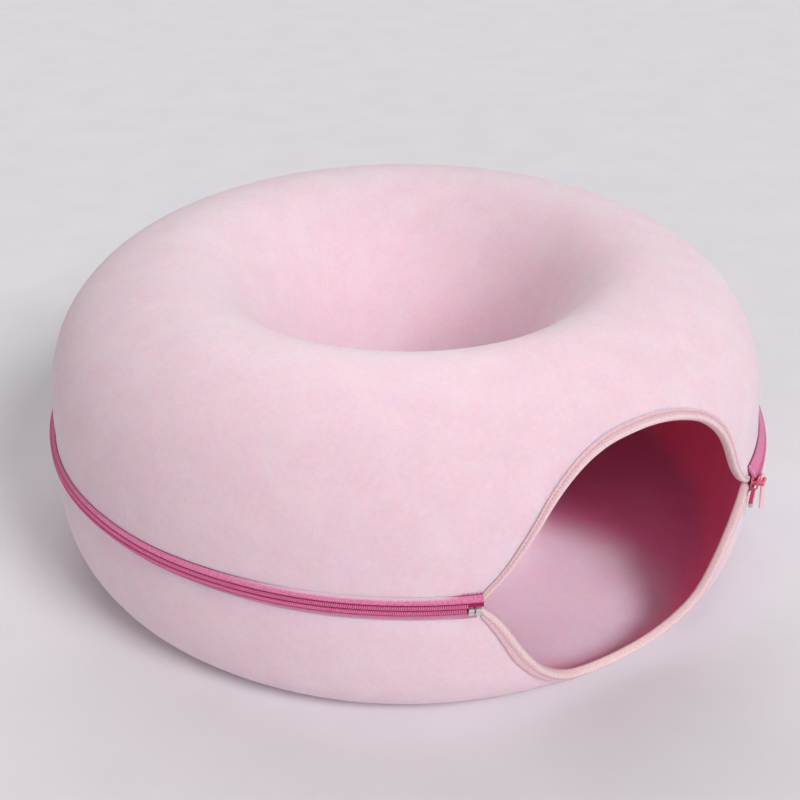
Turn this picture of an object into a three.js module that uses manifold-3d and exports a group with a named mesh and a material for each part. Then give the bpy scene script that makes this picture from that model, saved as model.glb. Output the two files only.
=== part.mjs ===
// A round felt tunnel bed for a cat: a hollow ring with a well through its middle, a leaf-shaped
// entrance low on one side, and a coil zip round its widest line. Millimetres, +Z up, the ring's
// axis on Z and its base on Z = 0. Angles are in degrees round the axis, from the front (-Y)
// towards the right (+X).
import * as THREE from 'three';
import { mergeVertices } from 'three/addons/utils/BufferGeometryUtils.js';
import Module from 'manifold-3d';

const wasm = await Module();
wasm.setup();

const CLEARANCE = 0.3;

// The ring's section, outside the felt: heights above the floor and radii from the axis
const RING = {
  radius: 250,
  widestHeight: 100,
  crestRadius: 164,
  crestHeight: 210,
  baseRadius: 197,
  wellRadius: 93,
  footRadius: 24,
  seamHeight: 40,
};
const FELT_THICKNESS = 3;

// How square each curve of the section is: 2 is an ellipse, more is boxier
const SHOULDER = { across: 1.694, up: 2.954 };
const MOUTH = { across: 2.073, up: 2.073 };
const FLANK = { across: 3.541, up: 3.541 };
const CURVE_STEPS = 40;
const FOOT_STEPS = 8;

// The felt stands further out round the right corner of the entrance, where the shut zip ends.
// Up and down the section the bulge fades over these reaches, all of it kept down to `keeps`.
const BULGE = { amount: 4, angle: 58, spread: 32, above: 110, keeps: -60, below: -125 };

// The entrance, and how far its cut edges reach up (+) or down (-) the felt from the widest line
const ENTRANCE = { start: 9.2, end: 62.5 };
const UPPER_EDGE = [
  { angle: 9.2, reach: -1.3 },
  { angle: 10.6, reach: -0.4 },
  { angle: 11.7, reach: 7 },
  { angle: 13, reach: 15.6 },
  { angle: 16, reach: 34 },
  { angle: 20, reach: 56 },
  { angle: 24, reach: 69.8 },
  { angle: 29, reach: 79 },
  { angle: 35, reach: 82.2 },
  { angle: 41, reach: 80.5 },
  { angle: 46, reach: 74.4 },
  { angle: 50, reach: 65 },
  { angle: 53, reach: 50.7 },
  { angle: 56, reach: 25.5 },
  { angle: 58.5, reach: 8.7 },
  { angle: 61.5, reach: -1 },
  { angle: 62.5, reach: -1.3 },
];
const LOWER_EDGE = [
  { angle: 9.2, reach: -4.1 },
  { angle: 9.8, reach: -12 },
  { angle: 10.6, reach: -14 },
  { angle: 11.7, reach: -18 },
  { angle: 13, reach: -25.2 },
  { angle: 16, reach: -45.6 },
  { angle: 19, reach: -63.2 },
  { angle: 22, reach: -75.4 },
  { angle: 26, reach: -86 },
  { angle: 30, reach: -89.6 },
  { angle: 35, reach: -89.2 },
  { angle: 39, reach: -86 },
  { angle: 43, reach: -80 },
  { angle: 47, reach: -72.6 },
  { angle: 50, reach: -64 },
  { angle: 53, reach: -48 },
  { angle: 56, reach: -32.5 },
  { angle: 58.5, reach: -21.5 },
  { angle: 61.5, reach: -11.5 },
  { angle: 62.5, reach: -4.1 },
];

// The zip: a coil of two rows standing proud of the felt, with a tape sloping back to the felt
// above it and another below it. It starts at the slider and ends at the crimped stops.
const COIL = {
  height: 97.3,
  halfWidth: 3.1,
  innerRadius: 253,
  outerRadius: 255.3,
  grooveDepth: 0.9,
  crownInner: 0.9,
  crownOuter: 2.3,
  start: 63,
  end: 367.75,
};
const TAPE = { thickness: 1, coilEdge: 3.9, coilRadius: 253.9 };
const UPPER_TAPE = { start: 62.3, end: 369.9, feltEdge: 6.4 };
const LOWER_TAPE = { start: 63, end: 369.15, feltEdge: 7.8 };

// The binding, folded over both cut edges of the entrance. Each runs from one column of the felt
// to another, and is widest in its middle and narrower where it dives into a corner.
const BINDING = { thickness: 1, ease: 0.45 };
const UPPER_BINDING = { firstColumn: 2, lastColumn: 29, cornerWidth: 2.8, middleWidth: 6 };
const LOWER_BINDING = { firstColumn: 1, lastColumn: 29, cornerWidth: 2.8, middleWidth: 3.8 };

const STOPS = [
  { name: 'zip_stop_inner', angle: 8.2, length: 3.2 },
  { name: 'zip_stop_outer', angle: 9.12, length: 3.4 },
];
const STOP = { height: 96.3, innerRadius: 252.6, outerRadius: 256, width: 5.8, corner: 0.6 };

// The slider: two plates joined by a wedge, with a bridge on top. Lengths run along the coil,
// widths across it. Its wide end faces the entrance.
const SLIDER = {
  angle: 62.8,
  length: 11,
  wideEnd: 8.4,
  narrowEnd: 6.8,
  corner: 1.4,
  plateRadius: 255.6,
  plateThickness: 1,
  innerPlateRadius: 251.7,
  innerPlateThickness: 0.9,
  innerPlateWidth: 6.6,
};
const WEDGE = { from: -4.6, to: 0, width: 3.2, sunk: 0.2 };
const BRIDGE = { length: 7.6, height: 3.5, width: 2.6, bar: 1.2, post: 1.4, corner: 1.2, sunk: 0.4 };

// The pull tab hangs from the bridge's post on the side away from the entrance
const PULL = { thickness: 1.2, lift: 0.5, length: 24, headWidth: 5.4, neckWidth: 3.2, tipWidth: 5.2 };
const PULL_HOLE = { width: 2.6, height: 3.4, rim: 1.3 };

// The folded tape ends that hang below the slider, and the small stop crimped under them
const TAIL = { angle: 62.2, innerRadius: 253.2, top: 93.6, bottom: 83, width: 4.6, thickness: 2.2 };
const TAIL_STOP = { height: 2.8, width: 3.4, thickness: 2.6 };
const TAIL_CORNER_SHARE = 0.2;

// How finely the felt is divided: columns round the ring, rows along its section
const ENTRANCE_COLUMNS = 30;
const OTHER_COLUMNS = 56;
const COLUMNS = ENTRANCE_COLUMNS + OTHER_COLUMNS;
const CORNER_CROWDING = 0.75;
const HEM_ROW = 6.6;
const SHOULDER_ROWS = 8;
const MOUTH_ROWS = 8;
const FLANK_ROWS = 6;
const FOOT_ROWS = 3;
const TURN_WEIGHT = 70;
const ROW_SAMPLES = 200;
const STEP_ALONG = 0.5;
const ARC_SEGMENTS = 3;
const MERGE_DISTANCE = 1e-4;
const TINY = 1e-3;

const FELT_FINISH = { color: 0xe9ccd8, roughness: 0.95, metalness: 0 };
const TAPE_FINISH = { color: 0xe76fae, roughness: 0.85, metalness: 0 };
const COIL_FINISH = { color: 0xd9588f, roughness: 0.5, metalness: 0 };
const BINDING_FINISH = { color: 0xf2c3c6, roughness: 0.85, metalness: 0 };
const STOP_FINISH = { color: 0xb9bcba, roughness: 0.35, metalness: 0.9 };
const SLIDER_FINISH = { color: 0xe8718f, roughness: 0.4, metalness: 0 };
const TAIL_FINISH = { color: 0xb93a5c, roughness: 0.85, metalness: 0 };

const radians = THREE.MathUtils.degToRad;
const blend = THREE.MathUtils.lerp;
const clamp = THREE.MathUtils.clamp;

// One curve of the section, from its side (first point) to its top or bottom (last point)
function quarter(centreRadius, across, up, square) {
  return Array.from({ length: CURVE_STEPS + 1 }, (_, step) => {
    const turn = (step / CURVE_STEPS) * (Math.PI / 2);
    const x = centreRadius + across * Math.cos(turn) ** (2 / square.across);
    const y = RING.widestHeight + up * Math.sin(turn) ** (2 / square.up);
    return new THREE.Vector2(x, y);
  });
}

// The outside of the section as one line: from the seam in the well down to the base, out along
// it, up the flank to the widest line, over the crest and down the well to the seam again.
// A reach is a distance along it, counted from the widest line.
function drawSection() {
  const rise = RING.crestHeight - RING.widestHeight;
  const seam = new THREE.Vector2(RING.wellRadius, RING.seamHeight);
  const foot = new THREE.Path();
  const footCentre = RING.wellRadius + RING.footRadius;
  foot.absarc(footCentre, RING.footRadius, RING.footRadius, Math.PI, Math.PI * 1.5, false);
  const flank = quarter(RING.baseRadius, RING.radius - RING.baseRadius, -RING.widestHeight, FLANK);
  const shoulder = quarter(RING.crestRadius, RING.radius - RING.crestRadius, rise, SHOULDER);
  const mouth = quarter(RING.crestRadius, RING.wellRadius - RING.crestRadius, rise, MOUTH);
  const under = [seam, ...foot.getPoints(FOOT_STEPS), ...flank.reverse()];
  const over = [...shoulder.slice(1), ...mouth.reverse().slice(1), seam.clone()];
  const points = [...under, ...over];
  const distances = [0];
  for (let i = 1; i < points.length; i += 1) {
    distances.push(distances[i - 1] + points[i].distanceTo(points[i - 1]));
  }
  const widest = distances[under.length - 1];
  return { points, reaches: distances.map((distance) => distance - widest) };
}

const section = drawSection();

function reachWhere(test) {
  return section.reaches[section.points.findIndex(test)];
}

const LOWER_SEAM = section.reaches[0] + CLEARANCE / 2;
const UPPER_SEAM = section.reaches[section.reaches.length - 1] - CLEARANCE / 2;
const CREST = reachWhere((point) => point.y > RING.crestHeight - TINY);
const MOUTH_END = reachWhere((point, i) => section.reaches[i] > CREST && point.y <= RING.widestHeight);
const BASE_OUTER = reachWhere((point) => point.y < TINY && point.x > RING.baseRadius - TINY);
const BASE_INNER = reachWhere((point) => point.y < TINY);

function lineAt(reach) {
  const { points, reaches } = section;
  let i = 1;
  while (i < points.length - 1 && reaches[i] < reach) i += 1;
  const share = (reach - reaches[i - 1]) / (reaches[i] - reaches[i - 1]);
  return points[i - 1].clone().lerp(points[i], clamp(share, 0, 1));
}

function outwardAt(reach) {
  const along = lineAt(reach + STEP_ALONG).sub(lineAt(reach - STEP_ALONG));
  return new THREE.Vector2(along.y, -along.x).normalize();
}

// All in the middle, easing to nothing a whole share away on either side
function hump(share) {
  return Math.cos((Math.min(Math.abs(share), 1) * Math.PI) / 2) ** 2;
}

function bulgeAt(angle, reach) {
  const above = Math.max(reach, 0) / BULGE.above;
  const below = Math.max(BULGE.keeps - reach, 0) / (BULGE.keeps - BULGE.below);
  return BULGE.amount * hump((angle - BULGE.angle) / BULGE.spread) * hump(above) * hump(below);
}

function onRing(radius, height, angle) {
  const turn = radians(angle);
  return new THREE.Vector3(radius * Math.sin(turn), -radius * Math.cos(turn), height);
}

// A point at a reach along the section, proud of the felt's outside (or inside it, below zero)
function onFelt(reach, proud, angle) {
  const point = lineAt(reach).addScaledVector(outwardAt(reach), proud);
  return onRing(point.x + bulgeAt(angle, reach), point.y, angle);
}

// A point of the zip, which goes in and out with the felt's widest line
function onZip(radius, height, angle) {
  return onRing(radius + bulgeAt(angle, 0), height, angle);
}

// A cut edge of the entrance, as a smooth curve through its stations
function smoothEdge(stations) {
  const angles = stations.map((station) => station.angle);
  const reaches = stations.map((station) => station.reach);
  const curve = new THREE.CubicInterpolant(angles, reaches, 1);
  return (angle) => curve.evaluate(clamp(angle, ENTRANCE.start, ENTRANCE.end))[0];
}

const upperEdge = smoothEdge(UPPER_EDGE);
const lowerEdge = smoothEdge(LOWER_EDGE);

// How much longer a width square to an edge becomes when it is measured along the section
function slant(edge, angle) {
  const first = columnAngle(1);
  const last = columnAngle(ENTRANCE_COLUMNS - 1);
  const middle = clamp(angle, first, last);
  const from = Math.max(middle - STEP_ALONG, first);
  const to = Math.min(middle + STEP_ALONG, last);
  const along = RING.radius * radians(to - from);
  return Math.hypot(1, (edge(to) - edge(from)) / along);
}

// The felt's columns are closest together at the entrance's corners and wider apart round the rest
function columnAngle(column) {
  if (column <= ENTRANCE_COLUMNS) {
    const even = column / ENTRANCE_COLUMNS;
    const crowded = (1 - Math.cos(Math.PI * even)) / 2;
    return blend(ENTRANCE.start, ENTRANCE.end, blend(even, crowded, CORNER_CROWDING));
  }
  const share = (column - ENTRANCE_COLUMNS) / OTHER_COLUMNS;
  return blend(ENTRANCE.end, ENTRANCE.start + 360, share);
}

// Angles for a strip from start to end, keeping to the felt's own columns in between
function stripAngles(start, end) {
  const nearest = 0.3;
  const angles = [start];
  for (let column = 0; column < COLUMNS; column += 1) {
    const angle = columnAngle(column);
    if (angle > start + nearest && angle < end - nearest) angles.push(angle);
  }
  return [...angles, end];
}

// Rows between two reaches, closer together where the section turns more
function spacedRows(from, to, count) {
  const step = Math.abs(to - from) / ROW_SAMPLES;
  const weights = [0];
  for (let i = 1; i <= ROW_SAMPLES; i += 1) {
    const before = outwardAt(blend(from, to, (i - 1) / ROW_SAMPLES));
    const after = outwardAt(blend(from, to, i / ROW_SAMPLES));
    const turned = Math.acos(clamp(before.dot(after), -1, 1));
    weights.push(weights[i - 1] + step + TURN_WEIGHT * turned);
  }
  const whole = weights[ROW_SAMPLES];
  return Array.from({ length: count }, (_, row) => {
    const sample = weights.findIndex((weight) => weight > (whole * (row + 1)) / count - TINY);
    return blend(from, to, sample / ROW_SAMPLES);
  });
}

// The upper shell's rows, in order, from its cut edge over the crest to the seam
function upperRows(angle, isOpen) {
  const cut = upperEdge(angle);
  const hem = cut + HEM_ROW * (isOpen ? slant(upperEdge, angle) : 1);
  const shoulder = spacedRows(hem, CREST, SHOULDER_ROWS);
  const mouth = spacedRows(CREST, MOUTH_END, MOUTH_ROWS);
  return [cut, hem, ...shoulder, ...mouth, UPPER_SEAM];
}

// The lower shell's rows, in order, from the seam round the base to its cut edge
function lowerRows(angle, isOpen) {
  const cut = lowerEdge(angle);
  const hem = cut - HEM_ROW * (isOpen ? slant(lowerEdge, angle) : 1);
  const footTop = section.reaches[1];
  const foot = spacedRows(BASE_INNER, footTop, FOOT_ROWS).reverse();
  const flank = spacedRows(hem, BASE_OUTER, FLANK_ROWS).reverse();
  return [LOWER_SEAM, ...foot, BASE_INNER, ...flank, hem, cut];
}

// A felt shell is a lathe of a closed loop, out along its rows and back along them inside the
// felt, with every vertex then put in its own place, so that the cut edge can rise and fall
function feltShell(name, rowsAt) {
  const columns = Array.from({ length: COLUMNS }, (_, column) => {
    const angle = columnAngle(column);
    return { angle, rows: rowsAt(angle, column <= ENTRANCE_COLUMNS) };
  });
  const count = columns[0].rows.length;
  const loop = Array.from({ length: count * 2 + 1 }, (_, slot) => new THREE.Vector2(1, slot));
  const lathe = new THREE.LatheGeometry(loop, COLUMNS);
  const position = lathe.attributes.position;
  for (let vertex = 0; vertex < position.count; vertex += 1) {
    const { angle, rows } = columns[Math.floor(vertex / loop.length) % COLUMNS];
    const slot = (vertex % loop.length) % (count * 2);
    const isOutside = slot < count;
    const reach = isOutside ? rows[slot] : rows[count * 2 - 1 - slot];
    const place = onFelt(reach, isOutside ? 0 : -FELT_THICKNESS, angle);
    position.setXYZ(vertex, place.x, place.y, place.z);
  }
  return namedMesh(name, lathe, FELT_FINISH);
}

function namedMesh(name, geometry, finish) {
  const mesh = new THREE.Mesh(geometry, new THREE.MeshStandardMaterial(finish));
  mesh.name = name;
  return mesh;
}

// A strip round the ring: its outline is extruded straight, one step for each angle, and then
// every vertex is put in its place
function strip(outline, angles, place) {
  const shape = new THREE.Shape(outline.map(([x, y]) => new THREE.Vector2(x, y)));
  const steps = angles.length - 1;
  const geometry = new THREE.ExtrudeGeometry(shape, { depth: steps, steps, bevelEnabled: false });
  const position = geometry.attributes.position;
  for (let vertex = 0; vertex < position.count; vertex += 1) {
    const angle = angles[Math.round(position.getZ(vertex))];
    const point = place(position.getX(vertex), position.getY(vertex), angle);
    position.setXYZ(vertex, point.x, point.y, point.z);
  }
  return geometry;
}

// The coil's outline is [height above its middle, radius]: two round rows with a groove between
function zipCoil() {
  const { halfWidth, innerRadius, outerRadius, grooveDepth, crownInner, crownOuter } = COIL;
  const groove = outerRadius - grooveDepth;
  const outline = [
    [-halfWidth, innerRadius],
    [halfWidth, innerRadius],
    [halfWidth, groove],
    [crownOuter, outerRadius],
    [crownInner, outerRadius],
    [0, groove],
    [-crownInner, outerRadius],
    [-crownOuter, outerRadius],
    [-halfWidth, groove],
  ];
  const place = (x, y, angle) => onZip(y, COIL.height + x, angle);
  return namedMesh('zip_coil', strip(outline, stripAngles(COIL.start, COIL.end), place), COIL_FINISH);
}

function zipTape(name, side, span) {
  const feltRadius = RING.radius + CLEARANCE;
  const outline = [
    [side * TAPE.coilEdge, TAPE.coilRadius],
    [side * TAPE.coilEdge, TAPE.coilRadius - TAPE.thickness],
    [side * span.feltEdge, feltRadius],
    [side * span.feltEdge, feltRadius + TAPE.thickness],
  ];
  const place = (x, y, angle) => onZip(y, COIL.height + x, angle);
  return namedMesh(name, strip(outline, stripAngles(span.start, span.end), place), TAPE_FINISH);
}

// The binding's outline is a U: [distance from the cut edge into the felt, height proud of it].
// A leg's far end is at one there, and is put at the binding's width at each angle.
function binding(name, edge, side, { firstColumn, lastColumn, cornerWidth, middleWidth }) {
  const { thickness, ease } = BINDING;
  const fold = ease + thickness;
  const inside = -FELT_THICKNESS - ease;
  const outline = [
    [1, ease],
    [1, fold],
    [-fold, fold],
    [-fold, inside - thickness],
    [1, inside - thickness],
    [1, inside],
    [-ease, inside],
    [-ease, ease],
  ].map(([x, y]) => [x * side, y]);
  const count = lastColumn - firstColumn + 1;
  const angles = Array.from({ length: count }, (_, i) => columnAngle(firstColumn + i));
  const [start, end] = [angles[0], angles[count - 1]];
  const place = (x, y, angle) => {
    const share = Math.sin((Math.PI * (angle - start)) / (end - start));
    const isLeg = x * side > 0;
    const width = isLeg ? blend(cornerWidth, middleWidth, share) : 1;
    return onFelt(edge(angle) + x * width * slant(edge, angle), y, angle);
  };
  return namedMesh(name, strip(outline, angles, place), BINDING_FINISH);
}

// Stands a piece on the ring at an angle: its x runs along the coil, its y up and its z outwards
function standOnRing(geometry, angle, radius, height) {
  const turn = radians(angle);
  const along = new THREE.Vector3(Math.cos(turn), Math.sin(turn), 0);
  const up = new THREE.Vector3(0, 0, 1);
  const away = new THREE.Vector3(Math.sin(turn), -Math.cos(turn), 0);
  const stand = new THREE.Matrix4().makeBasis(along, up, away);
  return geometry.applyMatrix4(stand.setPosition(onZip(radius, height, angle)));
}

// A flat shape with rounded corners, wider or narrower at its far end along x
function taperedShape(length, nearWidth, farWidth, corner) {
  const corners = [
    new THREE.Vector2(-length / 2, -nearWidth / 2),
    new THREE.Vector2(length / 2, -farWidth / 2),
    new THREE.Vector2(length / 2, farWidth / 2),
    new THREE.Vector2(-length / 2, nearWidth / 2),
  ];
  const shape = new THREE.Shape();
  corners.forEach((point, i) => {
    const before = corners[(i + 3) % 4];
    const after = corners[(i + 1) % 4];
    const start = point.clone().add(before.clone().sub(point).setLength(corner));
    const end = point.clone().add(after.clone().sub(point).setLength(corner));
    if (i === 0) shape.moveTo(start.x, start.y);
    else shape.lineTo(start.x, start.y);
    shape.quadraticCurveTo(point.x, point.y, end.x, end.y);
  });
  shape.closePath();
  return shape;
}

function plate(shape, thickness, lift) {
  const settings = { depth: thickness, bevelEnabled: false, curveSegments: ARC_SEGMENTS };
  return new THREE.ExtrudeGeometry(shape, settings).translate(0, 0, lift);
}

function solidOf(geometry) {
  const bare = geometry.clone();
  bare.deleteAttribute('normal');
  bare.deleteAttribute('uv');
  const merged = mergeVertices(bare, MERGE_DISTANCE);
  const vertProperties = Float32Array.from(merged.attributes.position.array);
  const triVerts = Uint32Array.from(merged.index.array);
  return new wasm.Manifold(new wasm.Mesh({ numProp: 3, vertProperties, triVerts }));
}

function joined(geometries) {
  const solid = geometries.map(solidOf).reduce((whole, piece) => whole.add(piece));
  const mesh = solid.getMesh();
  const geometry = new THREE.BufferGeometry();
  geometry.setAttribute('position', new THREE.BufferAttribute(mesh.vertProperties, 3));
  geometry.setIndex(new THREE.BufferAttribute(mesh.triVerts, 1));
  return geometry;
}

function crimpedStop({ name, angle, length }) {
  const shape = taperedShape(length, STOP.width, STOP.width, STOP.corner);
  const solid = plate(shape, STOP.outerRadius - STOP.innerRadius, 0);
  return namedMesh(name, standOnRing(solid, angle, STOP.innerRadius, STOP.height), STOP_FINISH);
}

// The bridge is an arch over the outer plate, drawn along and away, its feet sunk in the plate
function bridge(plateTop) {
  const halfLength = BRIDGE.length / 2;
  const arch = new THREE.Shape();
  arch.moveTo(-halfLength, -BRIDGE.sunk);
  arch.lineTo(halfLength, -BRIDGE.sunk);
  arch.lineTo(halfLength, BRIDGE.height - BRIDGE.corner);
  arch.quadraticCurveTo(halfLength, BRIDGE.height, halfLength - BRIDGE.corner, BRIDGE.height);
  arch.lineTo(BRIDGE.corner - halfLength, BRIDGE.height);
  arch.quadraticCurveTo(-halfLength, BRIDGE.height, -halfLength, BRIDGE.height - BRIDGE.corner);
  const post = halfLength - BRIDGE.post;
  const windowTop = BRIDGE.height - BRIDGE.bar;
  arch.holes.push(new THREE.Path([
    new THREE.Vector2(-post, 0),
    new THREE.Vector2(-post, windowTop),
    new THREE.Vector2(post, windowTop),
    new THREE.Vector2(post, 0),
  ]));
  const solid = plate(arch, BRIDGE.width, -BRIDGE.width / 2);
  return solid.rotateX(Math.PI / 2).translate(0, 0, plateTop);
}

function zipSlider() {
  const outerLift = SLIDER.plateRadius - SLIDER.innerPlateRadius;
  const outerShape = taperedShape(SLIDER.length, SLIDER.wideEnd, SLIDER.narrowEnd, SLIDER.corner);
  const width = SLIDER.innerPlateWidth;
  const innerShape = taperedShape(SLIDER.length, width, width, SLIDER.corner);
  const wedgeShape = new THREE.Shape([
    new THREE.Vector2(WEDGE.from, -WEDGE.width / 2),
    new THREE.Vector2(WEDGE.to, 0),
    new THREE.Vector2(WEDGE.from, WEDGE.width / 2),
  ]);
  const wedgeLift = SLIDER.innerPlateThickness - WEDGE.sunk;
  const solid = joined([
    plate(innerShape, SLIDER.innerPlateThickness, 0),
    plate(outerShape, SLIDER.plateThickness, outerLift),
    plate(wedgeShape, outerLift - wedgeLift + WEDGE.sunk, wedgeLift),
    bridge(outerLift + SLIDER.plateThickness),
  ]);
  const placed = standOnRing(solid, SLIDER.angle, SLIDER.innerPlateRadius, COIL.height);
  return namedMesh('zip_slider', placed, SLIDER_FINISH);
}

// The pull's outline, hanging down from its hole; the hole's top rests on the bridge's post
function pullTab() {
  const holeTop = BRIDGE.width / 2 + CLEARANCE;
  const top = holeTop + PULL_HOLE.rim;
  const shoulder = holeTop - PULL_HOLE.height - PULL_HOLE.rim;
  const bottom = top - PULL.length;
  const head = PULL.headWidth / 2;
  const tip = PULL.tipWidth / 2;
  const tab = new THREE.Shape();
  tab.moveTo(PULL.neckWidth / 2, shoulder - PULL.neckWidth / 2);
  tab.quadraticCurveTo(head, shoulder, head, shoulder + head);
  tab.quadraticCurveTo(head, top, 0, top);
  tab.quadraticCurveTo(-head, top, -head, shoulder + head);
  tab.quadraticCurveTo(-head, shoulder, -PULL.neckWidth / 2, shoulder - PULL.neckWidth / 2);
  tab.lineTo(-tip, bottom + tip);
  tab.quadraticCurveTo(-tip, bottom, 0, bottom);
  tab.quadraticCurveTo(tip, bottom, tip, bottom + tip);
  tab.closePath();
  const side = PULL_HOLE.width / 2;
  tab.holes.push(new THREE.Path([
    new THREE.Vector2(-side, holeTop - PULL_HOLE.height),
    new THREE.Vector2(-side, holeTop),
    new THREE.Vector2(side, holeTop),
    new THREE.Vector2(side, holeTop - PULL_HOLE.height),
  ]));
  const post = (BRIDGE.length - BRIDGE.post) / 2;
  const solid = plate(tab, PULL.thickness, PULL.lift).translate(post, 0, 0);
  const plateTop = SLIDER.plateRadius + SLIDER.plateThickness;
  return namedMesh('zip_pull', standOnRing(solid, SLIDER.angle, plateTop, COIL.height), SLIDER_FINISH);
}

function hangingBlock(name, width, thickness, bottom, top, finish) {
  const height = top - bottom;
  const corner = TAIL_CORNER_SHARE * Math.min(width, height);
  const shape = taperedShape(width, height, height, corner);
  const solid = plate(shape, thickness, 0);
  const middle = (top + bottom) / 2;
  return namedMesh(name, standOnRing(solid, TAIL.angle, TAIL.innerRadius, middle), finish);
}

function zipTail() {
  return hangingBlock('zip_tail', TAIL.width, TAIL.thickness, TAIL.bottom, TAIL.top, TAIL_FINISH);
}

function tailStop() {
  const top = TAIL.bottom - CLEARANCE;
  const { width, thickness, height } = TAIL_STOP;
  return hangingBlock('zip_tail_stop', width, thickness, top - height, top, STOP_FINISH);
}

const bed = new THREE.Group();
bed.add(
  feltShell('upper_shell', upperRows),
  feltShell('lower_shell', lowerRows),
  zipTape('zip_tape_upper', 1, UPPER_TAPE),
  zipTape('zip_tape_lower', -1, LOWER_TAPE),
  zipCoil(),
  binding('binding_upper', upperEdge, 1, UPPER_BINDING),
  binding('binding_lower', lowerEdge, -1, LOWER_BINDING),
  ...STOPS.map(crimpedStop),
  zipSlider(),
  pullTab(),
  zipTail(),
  tailStop(),
);

export default bed;
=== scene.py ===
import bisect
import functools
import math

import bmesh
import bpy
from mathutils import Matrix, Vector, noise


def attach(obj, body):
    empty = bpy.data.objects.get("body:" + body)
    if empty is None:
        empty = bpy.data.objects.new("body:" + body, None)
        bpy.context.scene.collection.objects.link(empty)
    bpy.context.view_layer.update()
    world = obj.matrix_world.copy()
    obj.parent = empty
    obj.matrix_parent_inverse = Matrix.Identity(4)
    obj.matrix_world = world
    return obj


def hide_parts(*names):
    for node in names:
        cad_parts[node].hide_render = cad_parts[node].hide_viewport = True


# A round felt tunnel bed for a cat: a hollow felt ring with a well through its middle, a bound
# leaf-shaped entrance and a coil zip round its widest line. Lengths are metres, +Z is up and the
# ring's axis is on Z. Angles are degrees round it, from the front (-Y) towards the right (+X).
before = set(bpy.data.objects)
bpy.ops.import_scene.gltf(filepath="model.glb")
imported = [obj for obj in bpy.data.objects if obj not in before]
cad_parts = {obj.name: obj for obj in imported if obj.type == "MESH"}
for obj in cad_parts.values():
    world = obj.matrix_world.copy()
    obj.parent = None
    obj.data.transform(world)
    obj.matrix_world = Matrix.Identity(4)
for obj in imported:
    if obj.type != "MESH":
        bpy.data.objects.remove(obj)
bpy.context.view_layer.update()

MM = 0.001
FULL_TURN = 360
QUARTER_TURN = math.pi / 2

# The camera stands where the photograph's did
CAMERA_PLACE = Vector((-0.00425, -0.8476, 0.5744))
CAMERA_TARGET = Vector((-0.00425, 0.0, 0.0905))
CAMERA_ROLL = math.radians(-0.07)
PICTURE_SIDE = 800
FOCAL_LENGTH_PIXELS = 1322.4
SENSOR_WIDTH = 36.0

# The ring's section, outside the felt
RING_RADIUS = 0.250
WIDEST_HEIGHT = 0.100
CREST_RADIUS = 0.164
CREST_HEIGHT = 0.210
BASE_RADIUS = 0.197
WELL_RADIUS = 0.093
FOOT_RADIUS = 0.024
SEAM_HEIGHT = 0.040
FELT_THICKNESS = 0.003

# How square each curve of the section is: 2 is an ellipse, more is boxier
SHOULDER_SQUARE = (1.694, 2.954)
MOUTH_SQUARE = (2.073, 2.073)
FLANK_SQUARE = (3.541, 3.541)
CURVE_STEPS = 2000
STEP_ALONG = 0.5 * MM

# The felt stands further out in places: round the right corner of the entrance, where the shut zip
# ends, and on the left. A swell is full from its low to its high reach, and fades away outside that
# by its bottom and its top, and by its spread on either side of its angle.
SWELLS = (
    {"amount": 0.0040, "angle": 58, "spread": 32,
     "bottom": -0.125, "low": -0.060, "high": -0.006, "top": 0.024},
    {"amount": 0.0042, "angle": -72, "spread": 50,
     "bottom": -0.125, "low": -0.055, "high": -0.040, "top": 0.020},
    {"amount": 0.0010, "angle": -90, "spread": 50,
     "bottom": 0.0, "low": 0.015, "high": 0.040, "top": 0.110},
)

# On the left the zip is sewn a little lower and lies deeper in the felt, and near its slider on the
# right it stands out from it
ZIP_SWAY = {"angle": -62, "spread": 46, "drop": 0.0022, "sink": 0.0010}
ZIP_FLARE = {"angle": 64, "spread": 30, "amount": 0.0009}

# Moulded felt is a little uneven all over: how much, and how far apart its swells are
WAVER = 0.5 * MM
WAVER_SPACING = 0.085

# The entrance, and how far its cut edges reach up (+) or down (-) the felt from the widest line
ENTRANCE_START = 9.2
ENTRANCE_END = 62.5
UPPER_EDGE = (
    (9.2, -0.0013), (9.8, -0.0008), (10.3, 0.0024), (10.9, 0.0056), (11.7, 0.0094), (13, 0.0162),
    (16, 0.0340), (20, 0.0560), (24, 0.0698), (29, 0.0790), (35, 0.0822), (41, 0.0805),
    (46, 0.0744), (50, 0.0650), (53, 0.0507), (56, 0.0255), (58.5, 0.0087), (61.5, -0.0010),
    (62.5, -0.0013),
)
LOWER_EDGE = (
    (9.2, -0.0041), (9.8, -0.0078), (10.6, -0.0112), (11.7, -0.0160), (13, -0.0236), (16, -0.0452),
    (19, -0.0632), (22, -0.0754), (26, -0.0860), (30, -0.0896), (35, -0.0892), (39, -0.0860),
    (43, -0.0800), (47, -0.0726), (50, -0.0640), (53, -0.0480), (56, -0.0325), (58.5, -0.0215),
    (61.5, -0.0088), (62.5, -0.0041),
)
# Between its corners an edge's slant is read over a short span round each angle
SLANT_START = 9.754
SLANT_END = 61.947
SLANT_HALF_SPAN = 0.5

# Both zip tapes start at the right corner of the entrance
TAPE_START = 61.95

# How finely the felt is divided: columns round the ring, rows along its section
ENTRANCE_COLUMNS = 150
OTHER_COLUMNS = 270
COLUMNS = ENTRANCE_COLUMNS + OTHER_COLUMNS
CORNER_CROWDING = 0.6
HEM_ROWS = (0.0, 0.0015, 0.0036, 0.0066)
SHOULDER_ROWS = 22
MOUTH_ROWS = 20
FLANK_ROWS = 26
FOOT_ROWS = 8
SEAM_ROWS = (0.0, 0.0008, 0.0018, 0.0035, 0.0060)

# How much a turn of the section counts beside its length, when rows are shared out along it
TURN_WEIGHT = 0.070

# The felt dips into the sewn seam in the well
SEAM_DIP = 0.0011
SEAM_DIP_WIDTH = 0.0045

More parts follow.
